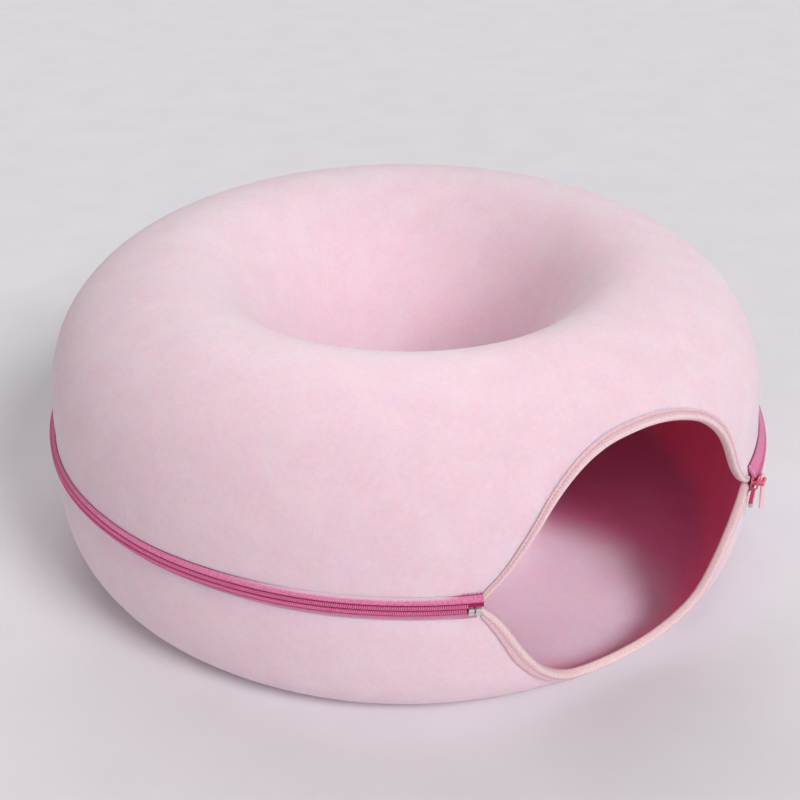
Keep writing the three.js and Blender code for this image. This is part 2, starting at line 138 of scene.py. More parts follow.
# Between pieces that meet, and between points that are taken for one
CLEARANCE = 0.0003
MERGE_DISTANCE = 1e-6


def clamp(value, low, high):
    return min(max(value, low), high)


def blend(start, end, share):
    return start + (end - start) * share


def hump(share):
    """All in the middle, easing to nothing a whole share away on either side."""
    return math.cos(min(abs(share), 1) * QUARTER_TURN) ** 2


def measured(points):
    """How far along a line each of its points lies."""
    distances = [0.0]
    for before, after in zip(points, points[1:]):
        distances.append(distances[-1] + math.dist(before, after))
    return distances


# The section as one line

def quarter(centre_radius, across, up, square):
    """One curve of the section, from its side to its top or bottom, as (radius, height)."""
    points = []
    for step in range(CURVE_STEPS + 1):
        turn = step / CURVE_STEPS * QUARTER_TURN
        radius = centre_radius + across * max(math.cos(turn), 0) ** (2 / square[0])
        points.append((radius, WIDEST_HEIGHT + up * math.sin(turn) ** (2 / square[1])))
    return points


def draw_section():
    """From the seam in the well down to the base, out along it, up the flank to the widest line,
    over the crest and down the well to the seam again. A reach is a distance along this line,
    counted from the widest line."""
    rise = CREST_HEIGHT - WIDEST_HEIGHT
    seam = (WELL_RADIUS, SEAM_HEIGHT)
    foot = []
    for step in range(CURVE_STEPS + 1):
        turn = math.pi + step / CURVE_STEPS * QUARTER_TURN
        radius = WELL_RADIUS + FOOT_RADIUS + FOOT_RADIUS * math.cos(turn)
        foot.append((radius, FOOT_RADIUS + FOOT_RADIUS * math.sin(turn)))
    flank = quarter(BASE_RADIUS, RING_RADIUS - BASE_RADIUS, -WIDEST_HEIGHT, FLANK_SQUARE)
    shoulder = quarter(CREST_RADIUS, RING_RADIUS - CREST_RADIUS, rise, SHOULDER_SQUARE)
    mouth = quarter(CREST_RADIUS, WELL_RADIUS - CREST_RADIUS, rise, MOUTH_SQUARE)
    under = [seam] + foot + flank[::-1]
    points = under + shoulder[1:] + mouth[-2::-1] + [seam]
    distances = measured(points)
    widest = distances[len(under) - 1]
    crest = distances[len(under) - 1 + CURVE_STEPS]
    base_outer = distances[CURVE_STEPS + 2]
    return points, [distance - widest for distance in distances], crest - widest, base_outer - widest


SECTION, REACHES, CREST, BASE_OUTER = draw_section()
LOWER_SEAM = REACHES[0] + CLEARANCE / 2
UPPER_SEAM = REACHES[-1] - CLEARANCE / 2


def line_at(reach):
    """(radius, height) of the section at a reach."""
    index = clamp(bisect.bisect_left(REACHES, reach), 1, len(REACHES) - 1)
    span = REACHES[index] - REACHES[index - 1]
    share = clamp((reach - REACHES[index - 1]) / span, 0, 1) if span else 0
    (r0, z0), (r1, z1) = SECTION[index - 1], SECTION[index]
    return blend(r0, r1, share), blend(z0, z1, share)


def outward_at(reach):
    """Which way is square to the section at a reach, as (outward, upward)."""
    r0, z0 = line_at(reach - STEP_ALONG)
    r1, z1 = line_at(reach + STEP_ALONG)
    length = math.hypot(r1 - r0, z1 - z0)
    return (z1 - z0) / length, (r0 - r1) / length


def turn_weights():
    """How much each stretch of the section counts when rows are shared out: more where it turns."""
    reach = REACHES[0]
    reaches, weights = [reach], [0.0]
    before = outward_at(reach)
    while reach < REACHES[-1]:
        reach += 2 * STEP_ALONG
        after = outward_at(reach)
        turned = math.acos(clamp(before[0] * after[0] + before[1] * after[1], -1, 1))
        reaches.append(reach)
        weights.append(weights[-1] + 2 * STEP_ALONG + TURN_WEIGHT * turned)
        before = after
    return reaches, weights


WEIGHED_REACHES, WEIGHTS = turn_weights()


def looked_up(value, keys, values):
    """What goes with a value, between the two keys on either side of it."""
    index = clamp(bisect.bisect_left(keys, value), 1, len(keys) - 1)
    share = (value - keys[index - 1]) / (keys[index] - keys[index - 1])
    return blend(values[index - 1], values[index], clamp(share, 0, 1))


def spaced_rows(start, end, count):
    """Rows between two reaches, closer together where the section turns more."""
    low = looked_up(start, WEIGHED_REACHES, WEIGHTS)
    high = looked_up(end, WEIGHED_REACHES, WEIGHTS)
    rows = []
    for row in range(1, count):
        rows.append(looked_up(blend(low, high, row / count), WEIGHTS, WEIGHED_REACHES))
    return rows + [end]


# Places on the felt and on the zip

def near(angle, place):
    """How much of a place's effect is felt at an angle round the ring."""
    half_turn = FULL_TURN / 2
    return hump(((angle - place["angle"] + half_turn) % FULL_TURN - half_turn) / place["spread"])


def swell_at(angle, reach):
    total = 0.0
    for swell in SWELLS:
        above = max(reach - swell["high"], 0) / (swell["top"] - swell["high"])
        below = max(swell["low"] - reach, 0) / (swell["low"] - swell["bottom"])
        total += swell["amount"] * near(angle, swell) * hump(above) * hump(below)
    return total


def on_ring(radius, height, angle):
    turn = math.radians(angle)
    return Vector((radius * math.sin(turn), -radius * math.cos(turn), height))


def waver_at(radius, height, angle):
    return WAVER * noise.noise(on_ring(radius, height, angle) / WAVER_SPACING)


def on_felt(reach, proud, angle):
    """A point at a reach along the section, proud of the felt's outside, or inside it below zero."""
    radius, height = line_at(reach)
    outward, upward = outward_at(reach)
    extra = swell_at(angle, reach) + waver_at(radius, height, angle)
    return on_ring(radius + outward * proud + extra, height + upward * proud, angle)


@functools.cache
def zip_shift(angle):
    """How far out and how far down the zip goes, along with the felt's widest line."""
    sway = near(angle, ZIP_SWAY)
    outward = swell_at(angle, 0) + waver_at(RING_RADIUS, WIDEST_HEIGHT, angle)
    outward += ZIP_FLARE["amount"] * near(angle, ZIP_FLARE) - ZIP_SWAY["sink"] * sway
    return outward, ZIP_SWAY["drop"] * sway


def on_zip(radius, height, angle):
    outward, down = zip_shift(angle)
    return on_ring(radius + outward, height - down, angle)


def smooth_edge(stations):
    """A smooth curve through stations, each an angle and a value there. Its slope at a station is
    the mean of the slopes on either side of it."""
    angles = [angle for angle, _ in stations]
    values = [value for _, value in stations]
    spans = [after - before for before, after in zip(angles, angles[1:])]
    rises = [after - before for before, after in zip(values, values[1:])]
    secants = [rise / span for rise, span in zip(rises, spans)]
    inner = [(before + after) / 2 for before, after in zip(secants, secants[1:])]
    slopes = [secants[0]] + inner + [secants[-1]]

    def value_at(angle):
        angle = clamp(angle, angles[0], angles[-1])
        index = clamp(bisect.bisect_right(angles, angle), 1, len(angles) - 1) - 1
        share = (angle - angles[index]) / spans[index]
        slope_in, slope_out = slopes[index] * spans[index], slopes[index + 1] * spans[index]
        square, cube = share ** 2, share ** 3
        start = (2 * cube - 3 * square + 1) * values[index] + (cube - 2 * square + share) * slope_in
        return start + (3 * square - 2 * cube) * values[index + 1] + (cube - square) * slope_out

    return value_at


upper_edge = smooth_edge(UPPER_EDGE)
lower_edge = smooth_edge(LOWER_EDGE)


def slant(edge, angle):
    """How much longer a width square to an edge becomes when it is measured along the section."""
    middle = clamp(angle, SLANT_START, SLANT_END)
    start = max(middle - SLANT_HALF_SPAN, SLANT_START)
    end = min(middle + SLANT_HALF_SPAN, SLANT_END)
    along = RING_RADIUS * math.radians(end - start)
    return math.hypot(1, (edge(end) - edge(start)) / along)


def column_angle(column):
    """The felt's columns are closest at the entrance's corners and wider apart round the rest."""
    if column <= ENTRANCE_COLUMNS:
        even = column / ENTRANCE_COLUMNS
        crowded = (1 - math.cos(math.pi * even)) / 2
        return blend(ENTRANCE_START, ENTRANCE_END, blend(even, crowded, CORNER_CROWDING))
    share = (column - ENTRANCE_COLUMNS) / OTHER_COLUMNS
    return blend(ENTRANCE_END, ENTRANCE_START + FULL_TURN, share)


# Making meshes

def carry(slots, steps, place, is_ring=False, length=1.0, girth=None):
    """A closed outline of so many slots, carried along in steps: a grid whose rows are the steps,
    bent so that place(slot, step) is where each point goes. The UV map runs along it, up to its
    length, and round its outline, as far as the girth says at each slot."""
    girth = girth or [slot / slots for slot in range(slots + 1)]
    bm = bmesh.new()
    bmesh.ops.create_grid(bm, x_segments=steps, y_segments=slots, size=0.5)
    uv = bm.loops.layers.uv.new("UVMap")
    for face in bm.faces:
        for loop in face.loops:
            x, y, _ = loop.vert.co
            loop[uv].uv = ((x + 0.5) * length, girth[round((y + 0.5) * slots)])
    for vertex in bm.verts:
        x, y, _ = vertex.co
        vertex.co = place(round((y + 0.5) * slots) % slots, round((x + 0.5) * steps))
    bmesh.ops.remove_doubles(bm, verts=bm.verts, dist=MERGE_DISTANCE)
    if not is_ring:
        bmesh.ops.holes_fill(bm, edges=[edge for edge in bm.edges if edge.is_boundary], sides=0)
    bmesh.ops.recalc_face_normals(bm, faces=bm.faces)
    return bm


def repeat(bm, count, pitch):
    """Repeats what is in the mesh along X, a pitch apart, until there are so many of it."""
    done = 1
    while done < count:
        copied = bmesh.ops.duplicate(bm, geom=bm.verts[:] + bm.edges[:] + bm.faces[:])["geom"]
        moved = [element for element in copied if isinstance(element, bmesh.types.BMVert)]
        bmesh.ops.translate(bm, vec=(pitch * done, 0, 0), verts=moved)
        done *= 2
    surplus = [vertex for vertex in bm.verts if vertex.co.x > (count - 0.5) * pitch]
    bmesh.ops.delete(bm, geom=surplus, context="VERTS")


def put(name, data):
    """A new object in the scene, for a mesh, a light or the camera."""
    holder = bpy.data.objects.new(name, data)
    bpy.context.scene.collection.objects.link(holder)
    return holder


def keep(bm, name, materials, replaced=(), crease=40):
    """The finished piece, smooth but for edges sharper than the crease, riding on the bed."""
    for face in bm.faces:
        face.smooth = True
    sharp = math.radians(crease)
    for edge in bm.edges:
        edge.smooth = not (edge.is_manifold and edge.calc_face_angle() > sharp)
    mesh = bpy.data.meshes.new(name)
    bm.to_mesh(mesh)
    bm.free()
    for material in materials:
        mesh.materials.append(material)
    piece = put(name, mesh)
    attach(piece, "root")
    if replaced:
        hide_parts(*replaced)
    return piece


def bevelled(bm, width, segments=3, sharper_than=50):
    """Rounds off the edges that are sharper than an angle."""
    sharp = math.radians(sharper_than)
    edges = [edge for edge in bm.edges if edge.is_manifold and edge.calc_face_angle() > sharp]
    bmesh.ops.bevel(bm, geom=edges, offset=width, offset_type="OFFSET", segments=segments,
                    profile=0.5, affect="EDGES", clamp_overlap=True, material=-1)


# Materials

def linear(hex_colour):
    """An sRGB hex colour, turned to the linear one that a socket takes."""
    channels = [int(hex_colour[at:at + 2], 16) / 255 for at in (1, 3, 5)]
    return [c / 12.92 if c <= 0.04045 else ((c + 0.055) / 1.055) ** 2.4 for c in channels] + [1.0]


def add(tree, kind, inputs, output=0, **settings):
    """Adds a node with its settings, and gives one of its outputs. An input is a value, a hex
    colour, or another node's output, which is linked in."""
    node = tree.nodes.new(kind)
    for name, value in settings.items():
        setattr(node, name, value)
    for name, source in inputs.items():
        if isinstance(source, bpy.types.NodeSocket):
            tree.links.new(source, node.inputs[name])
        else:
            node.inputs[name].default_value = linear(source) if isinstance(source, str) else source
    return node.outputs[output] if node.outputs else None


# A colour mix's two colours and its result, by their places among its sockets
MIX_A, MIX_B, MIX_RESULT = 6, 7, 2
EASED = {"interpolation_type": "SMOOTHSTEP"}


def layered(tree, colour, layers):
    """Lays colours over the first one. Each layer is (how much of it shows, its colour, how it
    blends)."""
    for share, over, blending in layers:
        colour = add(tree, "ShaderNodeMix", {"Factor": share, MIX_A: colour, MIX_B: over}, MIX_RESULT,
                     data_type="RGBA", blend_type=blending)
    return colour


def new_material(name):
    material = bpy.data.materials.new(name)
    material.use_nodes = True
    material.node_tree.nodes.clear()
    return material, material.node_tree


def finish(tree, values, colour, height, strength, distance):
    """The shader, whose constants are set on its own sockets, with its colour and its relief."""
    normal = add(tree, "ShaderNodeBump", {"Strength": strength, "Distance": distance, "Height": height})
    surface = add(tree, "ShaderNodeBsdfPrincipled", {**values, "Base Color": colour, "Normal": normal})
    add(tree, "ShaderNodeOutputMaterial", {"Surface": surface})


# The felt's patterns: faint clouds, a mottle, curled fibres and a fine fuzz, by how far apart they lie
FELT_PATTERNS = (
    {"Scale": 1 / (22 * MM), "Detail": 3.0},
    {"Scale": 1 / (3.2 * MM), "Detail": 5.0, "Roughness": 0.65},
    {"Scale": 1 / (2.2 * MM), "Detail": 2.0, "Distortion": 1.6},
    {"Scale": 1 / (0.7 * MM), "Detail": 2.0},
)
FIBRE_LINE = 0.035
FLECK_SHARE = 0.25
CLOUD_SHARE, MOTTLE_SHARE = 0.45, 0.55
FELT_DEPTH = 0.5 * MM

# Light goes into the felt and comes out again some way off, red light the furthest
FELT_FINISH = {"Roughness": 0.95, "Specular IOR Level": 0.15, "Sheen Roughness": 0.45,
               "Sheen Tint": "#ffe6f0", "Subsurface Weight": 1.0,
               "Subsurface Radius": (1.0, 0.24, 0.42), "Subsurface Scale": 4 * MM}


def needle_felt(name, light, deep, fleck, sheen, painted_shade=None):
    """Needle-punched wool-look felt: dead matt, a soft halo of loose fibres at grazing angles and
    a faint cloudy mottle with curled fibres lying on it. It is loose enough to let some light
    through, and most of that is red, so the tunnel glows inside."""
    material, tree = new_material(name)
    place = add(tree, "ShaderNodeTexCoord", {}, "Object")
    cloud, mottle, fibre, fuzz = (add(tree, "ShaderNodeTexNoise", {"Vector": place, **pattern})
                                  for pattern in FELT_PATTERNS)
    off_line = add(tree, "ShaderNodeMath", {0: fibre, 1: 0.5}, operation="SUBTRACT")
    off_line = add(tree, "ShaderNodeMath", {0: off_line}, operation="ABSOLUTE")
    strand = add(tree, "ShaderNodeMapRange",
                 {"Value": off_line, "From Max": FIBRE_LINE, "To Min": 1.0, "To Max": 0.0}, **EASED)
    mottled = add(tree, "ShaderNodeMath", {0: mottle, 1: MOTTLE_SHARE}, operation="MULTIPLY")
    tone = add(tree, "ShaderNodeMath", {0: cloud, 1: CLOUD_SHARE, 2: mottled}, operation="MULTIPLY_ADD")
    tone = add(tree, "ShaderNodeMapRange", {"Value": tone, "From Min": 0.30, "From Max": 0.70}, **EASED)
    flecks = add(tree, "ShaderNodeMath", {0: strand, 1: FLECK_SHARE}, operation="MULTIPLY")
    layers = [(tone, light, "MIX"), (flecks, fleck, "MIX")]
    # Away from a point on the tunnel's floor the colour is multiplied towards a rose tint: painted shade
    # deep in the tunnel
    if painted_shade:
        away = add(tree, "ShaderNodeVectorMath", {0: place, 1: painted_shade["from"]}, "Value",
                   operation="DISTANCE")
        away = add(tree, "ShaderNodeMapRange",
                   {"Value": away, "From Min": painted_shade["starts"], "From Max": painted_shade["full"]}, **EASED)
        layers.append((away, painted_shade["tint"], "MULTIPLY"))
    rough = add(tree, "ShaderNodeMath", {0: mottle, 1: fuzz}, operation="ADD")
    height = add(tree, "ShaderNodeMath", {0: strand, 1: 0.5, 2: rough}, operation="MULTIPLY_ADD")
    values = {**FELT_FINISH, "Sheen Weight": sheen}
    finish(tree, values, layered(tree, deep, layers), height, strength=0.35, distance=FELT_DEPTH)
    return material


# The real yarns are about 0.4 mm apart, which would be lost, so they are drawn coarser
YARN = 0.8 * MM
YARN_FLUFF = 0.9 * MM
TAPE_FINISH = {"Roughness": 0.8, "Specular IOR Level": 0.25, "Sheen Weight": 0.25, "Sheen Roughness": 0.5}

# Across the zip tape from its ridge beside the coil: dark crimson under the coil and in the gap beside it,
# painted shade, hot pink on the ridge, and crimson along its sewn edge, a painted shadow of the felt's edge
# over the tape
TAPE_GAP_PAINTED_SHADE = "#a8185c"
TAPE_GAPS = "#d8b8c8"
TAPE_BANDS = (
    (-1.1 * MM, -0.5 * MM, "#e078aa"),
    (0.2 * MM, 1.8 * MM, "#ee92bd"),
    (6.1 * MM, 6.8 * MM, "#a62c68"),
)

# Along the front loose fibres of the felt hide the tape more and more towards its edge. Angles are
# where the fluff starts, is full, wanes and ends, and its band is across the tape from the ridge.
FLUFF = {"starts": -30, "full": -10, "wanes": 4.0, "ends": 7.6, "uneven": 1.4 * MM, "colour": "#e6c0ce",
         "upper_band": (2.9 * MM, 5.9 * MM), "lower_band": (3.6 * MM, 6.4 * MM)}

# Across the binding from its outer edge: pinker up to the stitches, and paler at the fold, a painted
# highlight where the fold turns up to the light
BINDING_BANDS = (
    (2.0 * MM, 2.6 * MM, "#ecc9d0"),
    (4.6 * MM, 6.0 * MM, "#f8dee0"),
)


def along_tape(part):
    """How far along the tape a part of its fluff lies."""
    return RING_RADIUS * math.radians(FLUFF[part] + FULL_TURN - TAPE_START)


def woven_tape(name, first, bands, gaps, fluff_band=None):
    """Woven polyester tape: plain weave, a soft sheen and a slightly darker gap between yarns. The
    UV map runs along it (x) and round its outline (y), in metres. From the first colour on, each
    band blends into its colour between two places across the tape. Fluff may hide part of it."""
    material, tree = new_material(name)
    uv = add(tree, "ShaderNodeTexCoord", {}, "UV")
    along, across = (add(tree, "ShaderNodeSeparateXYZ", {"Vector": uv}, axis) for axis in "XY")
    place = add(tree, "ShaderNodeTexCoord", {}, "Object")
    uneven = add(tree, "ShaderNodeTexNoise", {"Vector": place, "Scale": 1 / YARN_FLUFF, "Detail": 3.0})
    waves = []
    for way in (along, across):
        turns = add(tree, "ShaderNodeMath", {0: way, 1: 2 * math.pi / YARN}, operation="MULTIPLY")
        waves.append(add(tree, "ShaderNodeMath", {0: turns}, operation="SINE"))
    weave = add(tree, "ShaderNodeMath", {0: waves[0], 1: waves[1]}, operation="MULTIPLY")
    layers = []
    for start, end, colour in bands:
        share = add(tree, "ShaderNodeMapRange", {"Value": across, "From Min": start, "From Max": end},
                    **EASED)
        layers.append((share, colour, "MIX"))
    tone = add(tree, "ShaderNodeMath", {0: weave, 1: 0.2, 2: uneven}, operation="MULTIPLY_ADD")
    sunk = add(tree, "ShaderNodeMapRange", {"Value": tone, "From Min": 0.75, "From Max": 0.25}, **EASED)
    layers.append((sunk, gaps, "MULTIPLY"))
    if fluff_band:
        low, high = FLUFF[fluff_band]
        ragged = add(tree, "ShaderNodeMath", {0: uneven, 1: 0.5}, operation="SUBTRACT")
        ragged = add(tree, "ShaderNodeMath", {0: ragged, 1: FLUFF["uneven"], 2: across},
                     operation="MULTIPLY_ADD")
        hidden = add(tree, "ShaderNodeMapRange", {"Value": ragged, "From Min": low, "From Max": high},
                     **EASED)
        for bare, full in (("starts", "full"), ("ends", "wanes")):
            share = add(tree, "ShaderNodeMapRange",
                        {"Value": along, "From Min": along_tape(bare), "From Max": along_tape(full)},
                        **EASED)
            hidden = add(tree, "ShaderNodeMath", {0: hidden, 1: share}, operation="MULTIPLY")
        layers.append((hidden, FLUFF["colour"], "MIX"))
    height = add(tree, "ShaderNodeMath", {0: weave, 1: uneven}, operation="ADD")
    finish(tree, TAPE_FINISH, layered(tree, first, layers), height, strength=0.3, distance=YARN / 5)
    return material


def plain_material(name, colour, shade, grain, values):
    """A finish with a light grain: thread, drawn nylon, metal or paint, set by its values."""
    material, tree = new_material(name)
    place = add(tree, "ShaderNodeTexCoord", {}, "Object")
    uneven = add(tree, "ShaderNodeTexNoise", {"Vector": place, "Scale": 1 / grain, "Detail": 3.0})
    share = add(tree, "ShaderNodeMapRange", {"Value": uneven, "From Min": 0.3, "From Max": 0.7}, **EASED)
    colour = layered(tree, shade, [(share, colour, "MIX")])
    finish(tree, values, colour, uneven, strength=0.15, distance=grain / 8)
    return material


# The inside copy of the felt is lighter and pinker than the outside, painted light for the floor lit
# through the entrance, and deep in the tunnel it turns a warmer rose, painted shade
TUNNEL_PAINTED_SHADE = {"from": (0.095, -0.115, 0.010), "starts": 0.060, "full": 0.105, "tint": "#ffacce"}

outside_felt = needle_felt("needle felt, pale pink", "#f4d9e4", "#eecfdb", "#f7e3eb", 0.12)
inside_felt = needle_felt("needle felt, rose deep inside", "#fedbec", "#fad2e4", "#fee2f0", 0.05,
                          TUNNEL_PAINTED_SHADE)

upper_weave = woven_tape("woven polyester upper zip tape, hot pink", TAPE_GAP_PAINTED_SHADE, TAPE_BANDS, TAPE_GAPS,
                         "upper_band")
lower_weave = woven_tape("woven polyester lower zip tape, hot pink", TAPE_GAP_PAINTED_SHADE, TAPE_BANDS, TAPE_GAPS,
                         "lower_band")
binding_weave = woven_tape("woven binding tape, peach pink", "#f3ccd6", BINDING_BANDS, "#ead8da")

# Drawn nylon is smooth, so that each turn of the coil has its own small highlight
nylon = plain_material("drawn nylon coil, pink", "#ee80ae", "#dc6296", 0.6 * MM,
                       {"Roughness": 0.38, "IOR": 1.53})

# Spun polyester thread and folded tape are matt, with a faint halo of fibres
THREAD = {"Roughness": 0.6, "Sheen Weight": 0.3}
pink_thread = plain_material("polyester sewing thread, hot pink", "#e2609c", "#c8407e", 0.4 * MM, THREAD)
pale_thread = plain_material("polyester sewing thread, pale pink", "#f2c4d2", "#e2a6ba", 0.4 * MM, THREAD)
peach_thread = plain_material("polyester sewing thread, dusty rose", "#c08a93", "#a8707a", 0.4 * MM,
                              {**THREAD, "Roughness": 0.65})
tail_weave = plain_material("folded polyester tape end, deep pink", "#dc4a74", "#c2385e", 0.5 * MM,
                            {**THREAD, "Roughness": 0.8})

# Bare aluminium, dulled by the crimping: a soft broad highlight
aluminium = plain_material("crimped aluminium, satin", "#f0f1f0", "#dcdfdd", 0.5 * MM,
                           {"Roughness": 0.5, "Metallic": 1.0})

# Enamel on cast zinc: glossy, with slightly soft reflections
ENAMEL = {"Roughness": 0.28, "IOR": 1.5, "Coat Weight": 0.4, "Coat Roughness": 0.12}
paint = plain_material("enamelled zinc casting, pink", "#ea6a8a", "#e05a7c", 1.5 * MM, ENAMEL)
pale_paint = plain_material("enamelled zinc pull, pale pink", "#f8ccd6", "#f4c0cc", 1.5 * MM, ENAMEL)

# Matt paint on a smooth board: no highlight at all
floor_board = plain_material("matt painted board, pale grey", "#e8e5ea", "#e5e3e8", 60 * MM,
                             {"Roughness": 0.9, "Specular IOR Level": 0.1})


# The two felt shells

def seam_dip(reach):
    nearest = min(abs(reach - LOWER_SEAM), abs(reach - UPPER_SEAM))
    return -SEAM_DIP * hump(nearest / SEAM_DIP_WIDTH)


def upper_rows(angle, is_open):
    cut = upper_edge(angle) - zip_shift(angle)[1]
    stretch = slant(upper_edge, angle) if is_open else 1
    hem = [cut + row * stretch for row in HEM_ROWS]
    seam = [UPPER_SEAM - row for row in SEAM_ROWS[::-1]]
    shoulder = spaced_rows(hem[-1], CREST, SHOULDER_ROWS)
    return hem + shoulder + spaced_rows(CREST, seam[0], MOUTH_ROWS) + seam[1:]


def lower_rows(angle, is_open):
    cut = lower_edge(angle) - zip_shift(angle)[1]
    stretch = slant(lower_edge, angle) if is_open else 1
    hem = [cut - row * stretch for row in HEM_ROWS[::-1]]
    seam = [LOWER_SEAM + row for row in SEAM_ROWS]
    foot = spaced_rows(seam[-1], BASE_OUTER, FOOT_ROWS)
    return seam + foot + spaced_rows(BASE_OUTER, hem[0], FLANK_ROWS) + hem[1:]


def felt_shell(name, node, rows_at):
    columns = []
    for column in range(COLUMNS + 1):
        angle = column_angle(column % COLUMNS)
        columns.append((angle, rows_at(angle, column % COLUMNS <= ENTRANCE_COLUMNS)))
    count = len(columns[0][1])

    def place(slot, step):
        angle, rows = columns[step]
        is_outside = slot < count
        reach = rows[slot] if is_outside else rows[count * 2 - 1 - slot]
        return on_felt(reach, seam_dip(reach) - (0 if is_outside else FELT_THICKNESS), angle)

    bm = carry(count * 2, COLUMNS, place, is_ring=True)
    uv = bm.loops.layers.uv["UVMap"]
    for face in bm.faces:
        round_outline = sum(loop[uv].uv.y for loop in face.loops) / len(face.loops)
        is_inside = 0.5 < round_outline < 1 - 0.5 / count
        face.material_index = 1 if is_inside else 0
    return keep(bm, name, [outside_felt, inside_felt], [node])


felt_upper = felt_shell("felt_upper", "upper_shell", upper_rows)
felt_lower = felt_shell("felt_lower", "lower_shell", lower_rows)


# Sewing

STITCH_APART = 4


def stitched(name, places, size, material):
    """Short stitches of thread, each lying at a point, along one direction and facing another."""
    length, width, height = size
    frames = []
    for point, along, facing in places:
        ahead = along.normalized()
        side = facing.cross(ahead).normalized()
        frames.append((point, ahead * length, side * width, ahead.cross(side) * height))
    bm = bmesh.new()
    lying = Matrix.Rotation(QUARTER_TURN, 4, "Y")
    bmesh.ops.create_uvsphere(bm, u_segments=6, v_segments=4, radius=0.5, matrix=lying)
    repeat(bm, len(places), STITCH_APART)
    for vertex in bm.verts:
        stitch = round(vertex.co.x / STITCH_APART)
        point, ahead, side, up = frames[stitch]
        x, y, z = vertex.co
        vertex.co = point + ahead * (x - stitch * STITCH_APART) + side * y + up * z
    keep(bm, name, [material])


def outward(angle, upward=0.0):
    """The way out from the ring's axis at an angle, and up if need be."""
    return on_ring(1, upward, angle).normalized()


def along_ring(angle):
    return outward(angle + FULL_TURN / 4)


# The zip: two rows of nylon turns, and a tape on each side of them

ZIP = {"height": 0.0971, "start": 63.0, "end": 367.9}

# A turn: the wire's radius and how much it is flattened along the coil, how far its arch reaches
# across and out from the tape, and how far it leans along the coil for each metre across
TURN_PITCH = 0.00125
TURN_WIRE = 0.00031
TURN_FLAT = 1.62
TURN_ARCH = 0.00096
TURN_RISE = 0.00120
TURN_SLANT = 0.25
TURN_SIDES = 6
TURN_STEPS = 6
ROW_MIDDLE = 0.00163
ROW_BASE_RADIUS = 0.2537
COIL_RADIUS = 0.2545
TURN_ANGLE = math.degrees(TURN_PITCH / COIL_RADIUS)
TURNS = int((ZIP["end"] - ZIP["start"]) / TURN_ANGLE)


def coil_row(name, side, replaced=()):
    """One row of turns, half a turn on from the other row. A turn is a length of flattened wire,
    arched up from the tape and down again."""
    bm = bmesh.new()
    ring = bmesh.ops.create_circle(bm, segments=TURN_SIDES, radius=TURN_WIRE)["verts"]
    bmesh.ops.scale(bm, vec=(TURN_FLAT, 1, 1), verts=ring)
    bmesh.ops.translate(bm, vec=(0, -TURN_ARCH, 0), verts=ring)
    bmesh.ops.spin(bm, geom=bm.verts[:] + bm.edges[:], cent=(0, 0, 0), axis=(-1, 0, 0),
                   dvec=(0, 0, 0), angle=math.pi, steps=TURN_STEPS, use_merge=False)
    bmesh.ops.holes_fill(bm, edges=[edge for edge in bm.edges if edge.is_boundary], sides=0)
    bmesh.ops.recalc_face_normals(bm, faces=bm.faces)
    repeat(bm, TURNS, TURN_PITCH)
    first = 0.5 if side > 0 else 0.0
    for vertex in bm.verts:
        x, y, z = vertex.co
        turn = (x + y * TURN_SLANT) / TURN_PITCH + first
        height = ZIP["height"] + side * (ROW_MIDDLE + y)
        radius = ROW_BASE_RADIUS + z * TURN_RISE / TURN_ARCH
        vertex.co = on_zip(radius, height, ZIP["start"] + turn * TURN_ANGLE)
    bmesh.ops.recalc_face_normals(bm, faces=bm.faces)
    keep(bm, name, [nylon], replaced)


coil_row("coil_upper_row", 1, ["zip_coil"])
coil_row("coil_lower_row", -1)

# The tape's outline in steps of (across, radius), from the middle of the coil: under the turns, over
# a ridge beside them and down a slope to its foot on the felt, then back underneath. The slope is in
# steps of (share of the way to the foot, how far it stands off the straight line).
TAPE_UNDER = (
    (0.00012, 0.25270), (0.00012, 0.25335), (0.00270, 0.25335), (0.00315, 0.25295), (0.00350, 0.25310),
)
TAPE_RIDGE = (0.0037, 0.2539)
TAPE_SLOPE = (
    (0.0, 0.0), (0.02, 0.00005), (0.25, 0.00016), (0.50, 0.00010), (0.75, 0.0), (0.93, -0.0001),
    (1.0, -0.0005),
)
TAPE_FOOT = (0.0100, 0.2503)
TAPE_BACK = (0.0034, 0.2526)
TAPE_THICKNESS = 0.0009
TAPE_FOOT_THICKNESS = 0.0003
TAPE_STEPS = 430

# Beside the slider each tape's end is turned under, and so is thicker
TAPE_TURNED_UNDER = 0.0018
TAPE_TURNED_STEPS = 3

# How far each tape's edge shows from the middle of the coil, by angle: less on the left, where the
# felt swells over it
UPPER_TAPE_EDGE = (
    (61, 0.0112), (110, 0.0104), (240, 0.0060), (270, 0.0046), (296, 0.0046), (306, 0.0051),
    (320, 0.0056), (328, 0.0061), (336, 0.0064), (346, 0.0068), (360, 0.0068), (370, 0.0071),
)
LOWER_TAPE_EDGE = (
    (61, 0.0100), (110, 0.0100), (240, 0.0075), (270, 0.0060), (310, 0.0060), (328, 0.0080),
    (346, 0.0098), (360, 0.0102), (370, 0.0102),
)
TAPES = {
    "zip_tape_upper": {"side": 1, "end": 369.9, "edge": smooth_edge(UPPER_TAPE_EDGE)},
    "zip_tape_lower": {"side": -1, "end": 369.15, "edge": smooth_edge(LOWER_TAPE_EDGE)},
}


def tape_slope(share):
    """(across, radius) at a share of the way down from a tape's ridge to its foot."""
    return blend(TAPE_RIDGE[0], TAPE_FOOT[0], share), blend(TAPE_RIDGE[1], TAPE_FOOT[1], share)


def on_tape(node, across, radius, angle):
    """A point on a tape: beside the coil it goes with the zip, and at its foot with the felt."""
    share = clamp((across - TAPE_RIDGE[0]) / (TAPE_FOOT[0] - TAPE_RIDGE[0]), 0, 1)
    shown = across + (TAPES[node]["edge"](angle) - TAPE_FOOT[0]) * share
    outward, down = zip_shift(angle)
    height = ZIP["height"] - down + TAPES[node]["side"] * shown
    felt_outward = on_felt(height - WIDEST_HEIGHT, 0, angle).xy.length - RING_RADIUS
    return on_ring(radius + blend(outward, felt_outward, share), height, angle)


